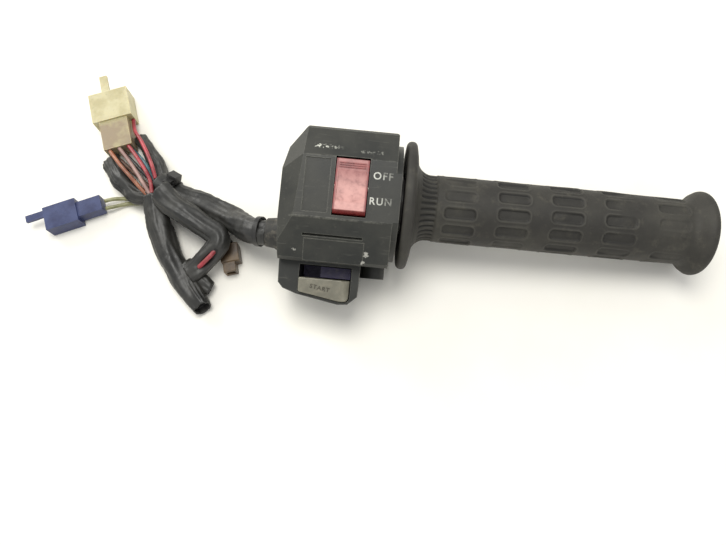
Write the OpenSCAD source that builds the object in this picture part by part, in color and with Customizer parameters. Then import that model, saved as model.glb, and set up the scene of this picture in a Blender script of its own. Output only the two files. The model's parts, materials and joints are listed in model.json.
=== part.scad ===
// Right-hand motorcycle throttle grip with its switch housing and wiring harness.
// Millimetres, +Z up, the bench at z = 0. The assembly lies on its two grip flanges and
// on the back corner of the housing, with the grip towards +X and the switches facing up.

/* [Handlebar] */
// Outer diameter of the handlebar that the part fits
bar_d = 22.2; // [22:0.1:22.4]

/* [Lying on the bench] */
// How far the bar axis runs down towards the grip end, in degrees
bar_tilt = 4.2; // [4:0.1:4.4]
// How far the switch face leans back from level, in degrees
face_turn = 17; // [15:0.5:18]

/* [Throttle grip] */
// Length of the rubber grip over both flanges
grip_length = 141; // [138:1:146]
// Diameter of the rubber where the hand holds it
grip_d = 30.8; // [29:0.2:32]
// Diameter of the large flange beside the housing
flange_d = 59; // [58:0.5:60]
// Diameter of the flange at the end of the grip
end_flange_d = 39; // [38.5:0.5:39.5]
// Outer diameter of the throttle tube under the rubber
tube_d = 25.2; // [24.8:0.2:25.6]
// Diameter of the cable drum's rims
drum_d = 34; // [32:0.5:34.5]

/* [Switch housing] */
// Width of the housing along the bar, without its collar
housing_width = 49.8; // [48.8:0.2:50.4]
// Height of the housing across the bar, both ways from the axis
housing_half_height = 29.5; // [29:0.5:30]
// Height of the switch face above the bar axis
face_height = 24.6; // [24:0.2:25.2]
// Depth of the back half below the bar axis
back_depth = 23.6; // [23:0.2:23.8]
// Gap left at the joint between the two halves
split_gap = 0.4; // [0.2:0.1:0.6]

/* [Engine stop rocker] */
// Width of the rocker along the bar
rocker_width = 14.1; // [13.5:0.1:14.1]
// Radius of the rocker's ends about its pivot
rocker_radius = 12.3; // [12:0.1:12.4]
// Angle that the rocker leans each way from level
rocker_lean = 9; // [6:1:10]

/* [Start button] */
// How far the start button travels
start_travel = 3; // [2:0.2:3]

/* [Harness] */
// Diameter of the main black sleeve
sleeve_d = 12; // [11:0.5:12]
// Diameter of one insulated wire
wire_d = 2; // [1.6:0.1:2]

/* [Hidden] */

eps = 0.01;
far = 200;                      // longer than anything it cuts
round_fn = 96;
small_fn = 48;

// The origin is the middle of the rigid assembly's footprint, from the flange's foot
origin_x = 38.42;
origin_y = -9.09;

bar_r = bar_d / 2;
flange_r = flange_d / 2;
end_flange_r = end_flange_d / 2;
grip_r = grip_d / 2;
tube_r = tube_d / 2;
drum_r = drum_d / 2;
bar_height = flange_r * cos(bar_tilt) + 2.6 * sin(bar_tilt);

// Housing places along the bar: x is measured from the large flange's inner face
house_x1 = -4.2;
collar_x1 = -1.6;
collar_r = 26.8;
house_x0 = house_x1 - housing_width;
chamber_x0 = -14.8;
chamber_x1 = -5.8;
chamber_r = drum_r + 1;
neck_r = 13.2;
half_gap = split_gap / 2;

pivot_y = 3.4;
pivot_z = 21;
pin_r = 1.5;
pin_clearance = 0.05;
rocker_top = 4.9;
rocker_x = -23.2;
pocket_half_x = rocker_width / 2 + 0.35;
pocket_half_y = rocker_radius + 0.4;
pocket_floor = 12.4;
base_top = 13.4;

start_x = -32;
start_y = -41.2;
block_floor = -9.4;
block_back = -12;
block_front = 11;
base_plate_top = -6.4;
button_back = 2;
bridge_t = 1;

screw_spots = [[-38, 20], [-27, -21]];
screw_head_z = -14;
screw_tip_z = 13;

gland_y = -18;
gland_z = -8;
gland_r = 7.2;
gland_end_x = -62.5;
wire_r = wire_d / 2;

// Harness routes, from the foot of the large flange
main_route = [[-63.3, -14.9, 21.4], [-68.5, -14.4, 20.6], [-74.5, -11.8, 16.6], [-82, -7.3, 11.6],
    [-90.2, -2, 8.5], [-100, 2.2, 6.9], [-109.5, 4.4, 6.8], [-116.5, 7, 7.3], [-122, 9.8, 7.4],
    [-127, 12.6, 7.4]];
loop_route = [[-120.8, 4.6, 15.6], [-115, -0.8, 15.6], [-107.2, -5.2, 14.8], [-99.5, -9.6, 13.8],
    [-93.6, -13.2, 13.2], [-89.6, -16, 13], [-88.6, -19.6, 12.6], [-91, -24, 11.2], [-95.2, -28.5, 9.4],
    [-99.2, -32, 7.8], [-103, -34.8, 6.6]];
lower_route = [[-126, 3.6, 11], [-124.2, -4.2, 9], [-121.2, -13.4, 6.6], [-116.6, -22.6, 5.8],
    [-109.9, -31.6, 5.6], [-102.2, -41, 5.4], [-93.6, -51.2, 5.3]];
tail_route = [[-106.5, -30.2, 5.4], [-101.5, -34, 4.8], [-96.5, -37.4, 4.2], [-91.6, -40.6, 3.5]];
left_route = [[-135.4, 5, 6.4], [-142, 8.6, 5.6], [-148.4, 14.2, 5.2], [-153.2, 20.6, 4.9],
    [-156.6, 26, 4.6]];
right_route = [[-127.6, 18.6, 6], [-131, 24.6, 5.2], [-135.6, 30.6, 4.5], [-140.4, 36, 3.6],
    [-144.6, 40.6, 2.8]];
stub_route = [[-93.6, -8.8, 3], [-91, -12, 3], [-88.6, -14.6, 3.2], [-86.6, -16.6, 3.6]];
red_route = [[-127, 4.6, 12.8], [-129.4, 11.5, 12.6], [-133.4, 17.6, 12], [-140, 25.4, 10.6],
    [-147, 32.8, 8.8]];
long_red_route = [[-127.4, 13.4, 11.4], [-130.6, 20.6, 11.4], [-135.6, 28.8, 10], [-141, 36.4, 8.2],
    [-146.4, 43, 6.2], [-149, 50.1, 5.6]];
pink_route = [[-128.6, 4.8, 11.4], [-133, 10.2, 11.6], [-137.8, 16, 10.8], [-144.4, 23.6, 9.8],
    [-151.6, 31, 8.8]];
orange_route = [[-130.2, 4.4, 9.6], [-135.6, 9, 12], [-141, 14, 12], [-148.6, 21, 10.4],
    [-156.3, 29.1, 8.8]];
teal_route = [[-126.8, 10.4, 9], [-129.6, 14.6, 10], [-134.6, 21.6, 9.6], [-140, 27, 7.6],
    [-146.6, 32.8, 4.4]];
black_route = [[-127.4, 11.6, 6.6], [-133, 15.4, 8], [-139.4, 20.8, 7.8], [-145.8, 26.4, 6.4],
    [-151.4, 30.9, 4.4]];
brown_route = [[-127.6, 10.2, 4.4], [-133, 12, 5.4], [-140, 17, 6.4], [-148.6, 23.6, 6],
    [-156.1, 28.9, 4.4]];
olive_route_a = [[-155.5, 2.2, 4.2], [-151, 4, 3.4], [-145.6, 5.2, 2], [-139, 5.8, 1.3],
    [-132, 6.2, 1.3], [-125.8, 6, 1.3]];
olive_route_b = [[-154, -1.9, 4.2], [-149.6, 0, 3.2], [-144.6, 2.2, 1.8], [-138.4, 3.2, 1.3],
    [-131.6, 3.6, 1.3], [-124.4, 3.4, 1.3]];

// ---------------------------------------------------------------- helpers

function unit(v) = v / norm(v);

function heading(route, i) =
    unit(route[min(i + 1, len(route) - 1)] - route[max(i - 1, 0)]);

// One ring of points square to the route at point i
function ring(route, i, r, sides) =
    let (ahead = heading(route, i), side = unit(cross(ahead, [0, 0, 1])), up = cross(side, ahead))
    [for (k = [0 : sides - 1]) let (a = 360 * k / sides) route[i] + r * (cos(a) * side + sin(a) * up)];

function arc(centre, r, from, to, steps) =
    [for (k = [0 : steps]) let (a = from + (to - from) * k / steps) centre + r * [cos(a), sin(a)]];

// A solid tube through a route's points; the radius runs evenly from one end to the other
module tube(route, r_start, r_end, sides = 10) {
    last = len(route) - 1;
    points = [for (i = [0 : last]) each ring(route, i, r_start + (r_end - r_start) * i / last, sides)];
    walls = [for (i = [0 : last - 1]) for (k = [0 : sides - 1])
        let (a = i * sides + k, b = i * sides + (k + 1) % sides) each
        [[a, b, a + sides], [b, b + sides, a + sides]]];
    start_cap = [for (k = [sides - 1 : -1 : 0]) k];
    end_cap = [for (k = [0 : sides - 1]) last * sides + k];
    polyhedron(points, concat(walls, [start_cap, end_cap]), convexity = 8);
}

// A compression spring along Z
module coil_spring(mean_r, wire_radius, turns, z0, z1, steps = 12, sides = 6) {
    count = turns * steps;
    lift = (z1 - z0 - 2 * wire_radius) / count;
    route = [for (i = [0 : count]) let (a = 360 * i / steps)
        [mean_r * cos(a), mean_r * sin(a), z0 + wire_radius + lift * i]];
    tube(route, wire_radius, wire_radius, sides);
}

// From the bench at the flange's foot
module bench_frame() {
    translate([-origin_x, -origin_y, 0]) children();
}

// X along the bar, from the large flange's inner face
module bar_frame() {
    bench_frame() translate([0, 0, bar_height]) rotate([0, bar_tilt, 0]) children();
}

// X along the bar, Y up the switch face, Z straight out of it
module housing_frame() {
    bar_frame() rotate([face_turn, 0, 0]) children();
}

// Turns a shape drawn along Z so that it runs along the bar
module along_bar(x) {
    translate([x, 0, 0]) rotate([0, 90, 0]) children();
}

module bar_cylinder(x0, x1, r, y = 0, z = 0) {
    translate([0, y, z]) along_bar(x0) cylinder(h = x1 - x0, r = r, $fn = round_fn);
}

// Everything behind the plane through a point, square to the given direction
module half_space(point, direction) {
    n = unit(direction);
    translate(point) rotate([0, acos(n[2]), atan2(n[1], n[0])])
        translate([-far, -far, -2 * far]) cube([2 * far, 2 * far, 2 * far]);
}

// A box from its lowest to its highest corner
module box(low, high) {
    translate(low) cube(high - low);
}

// ---------------------------------------------------------------- housing

// Shape of the housing seen straight on to the switch face
module housing_outline() {
    h = housing_half_height;
    polygon([[house_x1, -h - 0.4], [house_x1, h - 0.8], [house_x1 - 0.8, h], [-44, h], [-52, 19.5],
        [house_x0, 10], [house_x0, -12], [house_x0 + 1.4, -h - 0.4]]);
}

// Section across the bar: Y up the face, Z out of it
module front_section() {
    h = housing_half_height;
    polygon([[-h - 0.4, half_gap], [-h - 0.4, 17.6], [-h + 0.8, 19.3], [-10.8, face_height + 0.2],
        [15.8, face_height - 0.1], [h - 1.2, 18.6], [h, 16.8], [h, half_gap]]);
}

module rear_section() {
    h = housing_half_height;
    polygon([[-h, -half_gap], [-h, -17], [-27.3, -22.7], [-20, -back_depth], [14, -back_depth],
        [23.5, -19], [h, -10], [h, -half_gap]]);
}

// Extrudes a (Y, Z) section along the whole width of the housing and its collar
module across_housing() {
    translate([house_x0 - 1, 0, 0]) rotate([90, 0, 90]) linear_extrude(housing_width + 5) children();
}

module start_block_outline(top) {
    polygon([[-52.8, top], [-52.4, -40.3], [-50.2, -42.8], [-44, -44.9], [-25, -48.2],
        [-20.5, -47.8], [-16.4, -44], [-16, top]]);
}

module start_pocket_outline() {
    polygon([[-43.3, -31.4], [-43.3, -43.9], [-24.2, -47.1], [-20.8, -46.8], [-19.8, -45.2],
        [-19.8, -31.4]]);
}

module front_shell() {
    intersection() {
        across_housing() front_section();
        bar_cylinder(house_x1 - 1, collar_x1, collar_r);
    }
    intersection() {
        across_housing() front_section();
        translate([0, 0, -1]) linear_extrude(face_height + 3) housing_outline();
        half_space([-44.6, 15.8, face_height], [-0.561, 0.055, 0.826]);
        half_space([-44.6, 15.8, face_height], [-0.662, 0.345, 0.664]);
    }
    translate([0, 0, block_back]) linear_extrude(block_front - block_back) start_block_outline(-30.2);
    translate([0, 0, half_gap]) linear_extrude(block_front - half_gap) start_block_outline(-28);
    // low pad on the lower panel
    translate([0, 0, 17]) intersection() {
        box([-41.6, -29.6, 0], [-15.4, -20, 6]);
        half_space([0, -10.8, face_height + 0.6 - 17], [0, -0.31, 1]);
    }
}

module front_housing() {
    housing_frame() color([0.30, 0.30, 0.28]) difference() {
        front_shell();
        bar_cylinder(house_x0 - 1, chamber_x0 + eps, bar_r);
        bar_cylinder(chamber_x0, chamber_x1, chamber_r);
        bar_cylinder(chamber_x1 - eps, far, neck_r + 0.5);
        // rocker opening and its pin
        box([rocker_x - pocket_half_x, pivot_y - pocket_half_y, pocket_floor],
            [rocker_x + pocket_half_x, pivot_y + pocket_half_y, far]);
        bar_cylinder(rocker_x - 10, rocker_x + 10, pin_r, pivot_y, pivot_z);
        // shallow label panel left of the rocker
        box([-43.4, -8.6, face_height - 0.6], [-32.6, 14.6, far]);
        // line across the lower panel
        translate([-42.4, -19.3, 21]) rotate([-17, 0, 0]) cube([26, 0.9, far]);
        // start switch pocket and the way in for its wires
        translate([0, 0, block_floor]) linear_extrude(far) start_pocket_outline();
        box([-42, -32, 1], [-36, -27, 6]);
        // hollow for the wires, with a way through to the rocker switch
        box([-50.5, -27.2, -1], [-33.5, -14.5, 14]);
        box([-36, -15, 12.6], [-30, -9, 15.6]);
        for (spot = screw_spots)
            translate([spot[0], spot[1], -1]) cylinder(h = screw_tip_z + 2, r = 2.5, $fn = small_fn);
    }
}

module rear_housing() {
    housing_frame() color([0.28, 0.28, 0.26]) difference() {
        union() {
            intersection() {
                across_housing() rear_section();
                bar_cylinder(house_x1 - 1, collar_x1, collar_r);
            }
            intersection() {
                across_housing() rear_section();
                translate([0, 0, -far]) linear_extrude(2 * far) intersection() {
                    housing_outline();
                    translate([-far, -housing_half_height]) square(2 * far);
                }
            }
            translate([-10.3, -20, -13.4]) rotate([90, 0, 0]) cylinder(h = 15.5, r = 5.8, $fn = small_fn);
        }
        bar_cylinder(house_x0 - 1, chamber_x0 + eps, bar_r);
        bar_cylinder(chamber_x0, chamber_x1, chamber_r);
        bar_cylinder(chamber_x1 - eps, far, neck_r + 0.5);
        // throttle cable port: thread, then the cable's own hole into the drum chamber
        translate([-10.3, -26, -13.4]) rotate([90, 0, 0]) cylinder(h = 12, r = 4, $fn = small_fn);
        translate([-10.3, -12, -13.4]) rotate([90, 0, 0]) cylinder(h = 16, r = 1.8, $fn = small_fn);
        // harness gland, its inner flange and the wires' channel
        bar_cylinder(house_x0 - 1, -46, gland_r, gland_y, gland_z);
        bar_cylinder(-50.5, -46, 8.7, gland_y, gland_z);
        box([-47, -26.6, -16.5], [-33.5, -14.5, 1]);
        for (spot = screw_spots) {
            translate([spot[0], spot[1], -far]) cylinder(h = 2 * far, r = 2.75, $fn = small_fn);
            translate([spot[0], spot[1], -far]) cylinder(h = far + screw_head_z, r = 4.8, $fn = small_fn);
        }
    }
}

module clamp_screws() {
    housing_frame() color([0.62, 0.62, 0.60]) for (spot = screw_spots) translate(spot) {
        difference() {
            translate([0, 0, screw_head_z - 3.2]) cylinder(h = 3.2, r = 4.3, $fn = small_fn);
            for (turn = [0, 90]) rotate(turn)
                translate([-2.6, -0.6, screw_head_z - 4]) cube([5.2, 1.2, 2.4]);
        }
        translate([0, 0, screw_head_z - eps])
            cylinder(h = screw_tip_z - screw_head_z, r = 2.45, $fn = small_fn);
    }
}

module harness_grommet() {
    housing_frame() color([0.13, 0.13, 0.13]) translate([0, gland_y, gland_z]) along_bar(0)
        rotate_extrude($fn = round_fn) polygon([[4.5, gland_end_x], [6.8, gland_end_x], [7.4, -58],
            [8.6, -56], [8.6, house_x0], [gland_r, house_x0], [gland_r, -50.5], [8.6, -50.5],
            [8.6, -48.6], [4.5, -48.6]]);
}

// ---------------------------------------------------------------- engine stop rocker

// The rocker rests with its upper end pressed in
module rocker_frame() {
    housing_frame() translate([rocker_x, pivot_y, pivot_z]) rotate([-rocker_lean, 0, 0]) children();
}

module kill_rocker() {
    rocker_frame() color([0.80, 0.42, 0.38]) difference() {
        union() {
            intersection() {
                box([-rocker_width / 2, -far, -2.5], [rocker_width / 2, far, rocker_top]);
                bar_cylinder(-far, far, rocker_radius);
            }
            translate([0, 0, -5.6]) cylinder(h = 4, r = 2.6, $fn = small_fn);
        }
        bar_cylinder(-far, far, pin_r + pin_clearance);
        // hollowed thumb face
        translate([0, -0.6, 40 + rocker_top - 0.8]) rotate([0, 90, 0])
            translate([0, 0, -rocker_width / 2 + 1]) cylinder(h = rocker_width - 2, r = 40, $fn = round_fn);
        // spring and ball socket
        translate([0, 0, -6]) cylinder(h = 4.1, r = 1.35, $fn = small_fn);
        // underside pockets around the post
        for (side = [-1, 1])
            box([-5, side > 0 ? 3.4 : -10, -3], [5, side > 0 ? 10 : -3.4, 1.6]);
    }
}

module rocker_contact() {
    rocker_frame() color([0.80, 0.62, 0.28]) difference() {
        box([-3.5, -9.5, -3.1], [3.5, 9.5, -2.5]);
        translate([0, 0, -4]) cylinder(h = 3, r = 2.7, $fn = small_fn);
    }
}

module detent_ball() {
    rocker_frame() color([0.75, 0.76, 0.78]) translate([0, 0, -6.1]) sphere(r = 1.25, $fn = small_fn);
}

module detent_spring() {
    rocker_frame() color([0.70, 0.71, 0.72]) coil_spring(0.95, 0.22, 4, -4.84, -1.95);
}

module rocker_pin() {
    housing_frame() color([0.70, 0.70, 0.68])
        bar_cylinder(rocker_x - 10, rocker_x + 10, pin_r, pivot_y, pivot_z);
}

module kill_switch_base() {
    housing_frame() color([0.16, 0.14, 0.12]) difference() {
        box([rocker_x - pocket_half_x, pivot_y - pocket_half_y, pocket_floor],
            [rocker_x + pocket_half_x, pivot_y + pocket_half_y, base_top]);
        for (side = [-1, 1]) translate([rocker_x, pivot_y + side * 8, pocket_floor - 1])
            cylinder(h = 3, r = 1.6, $fn = small_fn);
    }
}

module kill_contacts() {
    housing_frame() color([0.80, 0.62, 0.28]) for (side = [-1, 1])
        translate([rocker_x, pivot_y + side * 8, pocket_floor]) cylinder(h = 3.7, r = 1.6, $fn = small_fn);
}

// ---------------------------------------------------------------- start button

module start_button() {
    housing_frame() color([0.45, 0.44, 0.38]) {
        intersection() {
            translate([0, 0, button_back]) linear_extrude(20) polygon([[-42.9, -37.2], [-42.9, -43.6],
                [-24.4, -46.7], [-21, -46.4], [-20.2, -45], [-20.2, -37.2]]);
            half_space([-32, -37.2, 15.6], [0, -0.3, 1]);
            half_space([-23, -42, 14.6], [0.8, 0, 0.6]);
        }
        translate([start_x, start_y, -5]) cylinder(h = 7 + eps, r = 2, $fn = small_fn);
    }
}

module start_bridge() {
    housing_frame() color([0.80, 0.62, 0.28]) difference() {
        box([-40, -43.6, button_back - bridge_t], [-24, -38.8, button_back]);
        translate([start_x, start_y, 0]) cylinder(h = 5, r = 2, $fn = small_fn);
    }
}

module start_spring() {
    housing_frame() color([0.70, 0.71, 0.72]) translate([start_x, start_y, 0])
        coil_spring(2.75, 0.35, 5, base_plate_top, button_back - bridge_t);
}

module start_switch_base() {
    housing_frame() color([0.14, 0.12, 0.17]) difference() {
        union() {
            box([-42.8, -43.2, block_floor], [-24, -31.9, base_plate_top]);
            box([-34, -36.6, block_floor], [-20.3, -31.9, 5]);
        }
        translate([start_x, start_y, block_floor - 1]) cylinder(h = 6, r = 2.4, $fn = small_fn);
        for (x = [-38.5, -25.5]) translate([x, start_y, block_floor - 1]) cylinder(h = 6, r = 1, $fn = small_fn);
    }
}

module start_contacts() {
    housing_frame() color([0.80, 0.62, 0.28]) for (x = [-38.5, -25.5])
        translate([x, start_y, block_floor]) cylinder(h = 7.1, r = 1, $fn = small_fn);
}

// ---------------------------------------------------------------- throttle

module throttle_tube() {
    bore = bar_r + 0.05;
    groove = drum_r - 2.4;
    tube_end = grip_length - 6;
    bar_frame() color([0.20, 0.20, 0.20]) difference() {
        along_bar(0) rotate_extrude($fn = round_fn) polygon([[bore, -14.3], [drum_r, -14.3],
            [drum_r, -12.6], [groove, -12.4], [groove, -8.2], [drum_r, -8], [drum_r, -6.3],
            [neck_r, -6.3], [neck_r, 0], [tube_r, 0], [tube_r, tube_end], [bore, tube_end]]);
        // seat for the cable's nipple, and the slot that the cable leaves by
        rotate([-120, 0, 0]) {
            bar_cylinder(-15, -8.2, 1.9, 0, 14.6);
            box([-10.9, -far, 14], [-9.7, 0, 14.6]);
        }
    }
}

module grip_rubber() {
    r = grip_r;
    l = grip_length;
    profile = concat([[tube_r, 0], [flange_r - 2, 0]], arc([flange_r - 2, 2], 2, -90, 0, 6),
        arc([flange_r - 2, 2.6], 2, 0, 80, 6), [[22.4, 5.6]],
        arc([22.4, 12.9], 7.3, 270, 188, 8), [[r - 0.3, 17.4], [r, 18], [r, 80], [r - 0.4, l - 12]],
        arc([r + 4.6, l - 12], 5, 180, 128, 5), [[end_flange_r - 1, l - 6.4]],
        arc([end_flange_r - 2.6, l - 4], 2.6, -20, 80, 8), [[0, l], [0, l - 6], [tube_r, l - 6]]);
    bar_frame() color([0.22, 0.22, 0.21]) along_bar(0) rotate_extrude($fn = round_fn) polygon(profile);
}

// ---------------------------------------------------------------- harness

module black_sleeve(route, r_start, r_end) {
    bench_frame() color([0.20, 0.20, 0.19]) tube(route, r_start, r_end);
}

module wire(route, shade) {
    bench_frame() color(shade) tube(route, wire_r, wire_r, 8);
}

// A ring square to a heading in the plane of the bench
module band(centre, ahead, inner, outer, width) {
    n = unit(ahead);
    translate(centre) rotate([0, acos(n[2]), atan2(n[1], n[0])]) translate([0, 0, -width / 2])
        difference() {
            cylinder(h = width, r = outer, $fn = small_fn);
            translate([0, 0, -1]) cylinder(h = width + 2, r = inner, $fn = small_fn);
        }
}

module harness_clip() {
    bench_frame() color([0.17, 0.17, 0.17])
        band([-66.8, -14.55, 20.85], main_route[1] - main_route[0], sleeve_d / 2 + 0.25, sleeve_d / 2 + 1.3, 2.6);
}

module cable_tie() {
    centre = [-119.2, 8.4, 7.4];
    inner = sleeve_d / 2 + 0.1;
    bench_frame() color([0.12, 0.12, 0.12]) {
        band(centre, [-5.5, 2.8, 0.5], inner, inner + 1.1, 3.6);
        translate(centre) rotate([0, 0, 154]) rotate([40, 0, 0]) translate([-2.8, -2.6, inner + 0.8])
            cube([5.6, 5.2, 4.2]);
    }
}

// A shrouded plug: the rear takes the wires, the open shroud faces along +Y
module plug_housing(rear, shroud, wall, latch) {
    difference() {
        union() {
            translate([-rear[0] / 2, 0, (shroud[2] - rear[2]) / 2]) cube(rear);
            translate([-shroud[0] / 2, rear[1] - eps, 0]) cube(shroud);
            translate([latch[0], rear[1] + shroud[1] - 8, shroud[2] - 2]) cube([latch[1], 8 + latch[2], 1.8]);
        }
        translate([-shroud[0] / 2 + wall, rear[1] + 3, wall])
            cube([shroud[0] - 2 * wall, shroud[1], shroud[2] - 2 * wall - 0.6]);
    }
}

module plug_terminals(columns, rows, pitch, start, height) {
    for (i = [0 : columns - 1]) for (j = [0 : rows - 1])
        translate([(i - (columns - 1) / 2) * pitch - 1.1, start, height + (j - (rows - 1) / 2) * pitch - 0.4])
            cube([2.2, 6, 0.8]);
}

module cream_frame() {
    bench_frame() translate([-151.8, 31, 0.2]) rotate([0, 0, 21]) children();
}

module blue_frame() {
    bench_frame() translate([-155.8, 0.4, 0.2]) rotate([0, 0, 114]) children();
}

module brown_frame() {
    bench_frame() translate([-85.6, -17.4, 0.2]) rotate([0, 0, 196]) children();
}

module cream_connector() {
    cream_frame() color([0.86, 0.80, 0.58])
        plug_housing([15, 17, 9], [21, 17.6, 11.4], 1.2, [-3, 4.2, 10]);
}

module cream_terminals() {
    cream_frame() color([0.80, 0.62, 0.28]) plug_terminals(3, 2, 4.6, 20, 5.6);
}

module blue_connector() {
    blue_frame() color([0.17, 0.22, 0.45])
        plug_housing([8.4, 12.6, 6.4], [13, 17, 8.4], 1.2, [1.4, 3.6, 9.3]);
}

module blue_terminals() {
    blue_frame() color([0.80, 0.62, 0.28]) plug_terminals(2, 1, 4.6, 15.6, 3.9);
}

module brown_connector() {
    brown_frame() color([0.36, 0.27, 0.18]) difference() {
        union() {
            translate([-4.6, 0, 0]) cube([9.2, 9.5, 7.6]);
            translate([-2.2, 9.5 - eps, 0]) cube([6.2, 5, 6.8]);
        }
        translate([-1.2, 4, 2]) cube([4.2, 20, 3]);
    }
}

module brown_terminals() {
    brown_frame() color([0.80, 0.62, 0.28]) translate([-0.7, 4, 3.1]) cube([3.2, 8, 0.8]);
}

front_housing();
rear_housing();
clamp_screws();
kill_rocker();
rocker_pin();
rocker_contact();
detent_ball();
detent_spring();
kill_switch_base();
kill_contacts();
start_button();
start_bridge();
start_spring();
start_switch_base();
start_contacts();
throttle_tube();
grip_rubber();
harness_grommet();
harness_clip();
black_sleeve(main_route, sleeve_d / 2, sleeve_d / 2);  // main_sleeve
black_sleeve(loop_route, 5.6, 4.6);  // loop_sleeve
black_sleeve(lower_route, 5.4, 5.2);  // lower_sleeve
black_sleeve(tail_route, 4.8, 3.3);  // tail_sleeve
black_sleeve(left_route, 5, 4.4);  // left_sleeve
black_sleeve(right_route, 4.6, 2.4);  // right_sleeve
black_sleeve(stub_route, 2.8, 2.8);  // stub_sleeve
cable_tie();
wire(red_route, [0.75, 0.15, 0.18]);  // red_wire
wire(long_red_route, [0.75, 0.15, 0.18]);  // long_red_wire
wire(pink_route, [0.78, 0.55, 0.55]);  // pink_wire
wire(orange_route, [0.80, 0.42, 0.22]);  // orange_wire
wire(teal_route, [0.15, 0.35, 0.40]);  // teal_wire
wire(black_route, [0.10, 0.10, 0.10]);  // black_wire
wire(brown_route, [0.35, 0.22, 0.15]);  // brown_wire
wire(olive_route_a, [0.45, 0.45, 0.28]);  // olive_wire_a
wire(olive_route_b, [0.45, 0.45, 0.28]);  // olive_wire_b
cream_connector();
cream_terminals();
blue_connector();
blue_terminals();
brown_connector();
brown_terminals();
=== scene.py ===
# %% [markdown]
# # A right-hand throttle grip with its switch housing and wiring harness
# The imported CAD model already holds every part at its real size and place. This lesson
# gives each one the surface of a used motorcycle part: soft cast edges, a moulded rubber
# grip, wrinkled vinyl sleeves, thin wires and aged plugs, lying on a pale bench.

# %% Load the frame
import json
import math

import bmesh
import bpy
from mathutils import Euler, Matrix, Vector, noise


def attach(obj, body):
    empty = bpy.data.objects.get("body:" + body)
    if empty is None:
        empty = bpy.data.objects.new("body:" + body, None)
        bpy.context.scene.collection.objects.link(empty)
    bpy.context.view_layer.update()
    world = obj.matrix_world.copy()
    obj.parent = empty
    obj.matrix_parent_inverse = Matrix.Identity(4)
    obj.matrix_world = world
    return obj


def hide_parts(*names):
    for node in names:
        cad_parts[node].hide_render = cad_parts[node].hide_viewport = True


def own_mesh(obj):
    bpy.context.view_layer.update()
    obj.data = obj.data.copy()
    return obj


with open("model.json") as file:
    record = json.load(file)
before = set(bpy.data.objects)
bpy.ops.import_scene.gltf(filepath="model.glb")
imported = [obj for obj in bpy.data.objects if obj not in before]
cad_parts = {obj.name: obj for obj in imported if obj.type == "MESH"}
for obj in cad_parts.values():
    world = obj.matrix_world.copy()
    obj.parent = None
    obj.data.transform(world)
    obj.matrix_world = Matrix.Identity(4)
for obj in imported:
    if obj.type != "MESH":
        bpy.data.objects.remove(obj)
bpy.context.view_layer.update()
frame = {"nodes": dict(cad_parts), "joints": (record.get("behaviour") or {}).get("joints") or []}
MM = 0.001

# %% [markdown]
# ## The frames that the parts are drawn in
# A maker draws a housing square to its own face, and a grip along its own bar, and only
# then lays both on the bench. The same three frames are repeated here, in millimetres.

# %% The bench, bar, switch-face and rocker frames
BAR_TILT = math.radians(4.2)
FACE_TURN = math.radians(17)
ROCKER_LEAN = math.radians(9)
FLANGE_R = 29.5
BAR_HEIGHT = FLANGE_R * math.cos(BAR_TILT) + 2.6 * math.sin(BAR_TILT)
bench_place = Matrix.Translation((-38.42, 9.09, 0))
bar_place = (bench_place @ Matrix.Translation((0, 0, BAR_HEIGHT))
             @ Matrix.Rotation(BAR_TILT, 4, "Y"))
face_place = bar_place @ Matrix.Rotation(FACE_TURN, 4, "X")
rocker_place = (face_place @ Matrix.Translation((-23.2, 3.4, 21))
                @ Matrix.Rotation(-ROCKER_LEAN, 4, "X"))


def plug_place(x, y, turn):
    """The frame of a plug that lies on the bench."""
    return bench_place @ Matrix.Translation((x, y, 0.2)) @ Matrix.Rotation(math.radians(turn), 4, "Z")


cream_place = plug_place(-151.8, 31, 21)


def placed(place, point):
    """A point given in millimetres in one of the frames, in metres in the row frame."""
    return (place @ Vector(point)) * MM


def in_scene(name, data):
    """A new object that holds a mesh, a light or a camera, linked into the scene."""
    made = bpy.data.objects.new(name, data)
    bpy.context.scene.collection.objects.link(made)
    return made


print("bar axis at", [round(x, 4) for x in placed(bar_place, (0, 0, 0))])

# %% [markdown]
# ## The camera
# The part is looked at from above and a little from the front, as it lies on the bench,
# with a moderately wide lens. It is made first, because the free cords are checked
# against what it sees.

# %% Camera
eye = bpy.data.cameras.new("bench_camera")
eye.lens = 30.5
eye.sensor_width = 36
eye.clip_start = 0.01
camera = in_scene("bench_camera", eye)
camera.location = (-0.0335, -0.1037, 0.29576)
camera.rotation_euler = Euler([math.radians(a) for a in (16.797, 2.657, 5.235)])
bpy.context.scene.camera = camera
print("camera at", [round(x, 3) for x in camera.location])

# %% [markdown]
# ## Arithmetic with nodes
# A finish and a moulded pattern are both sums of small functions of place. This class
# lets them be written as ordinary arithmetic, and makes one Math node for each step, in a
# shader tree or in a Geometry Nodes tree alike.

# %% Node arithmetic


def plug(tree, value, socket):
    """Feeds a socket from a Value or from a plain number."""
    if isinstance(value, Value):
        tree.links.new(value.socket, socket)
    else:
        socket.default_value = value


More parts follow.
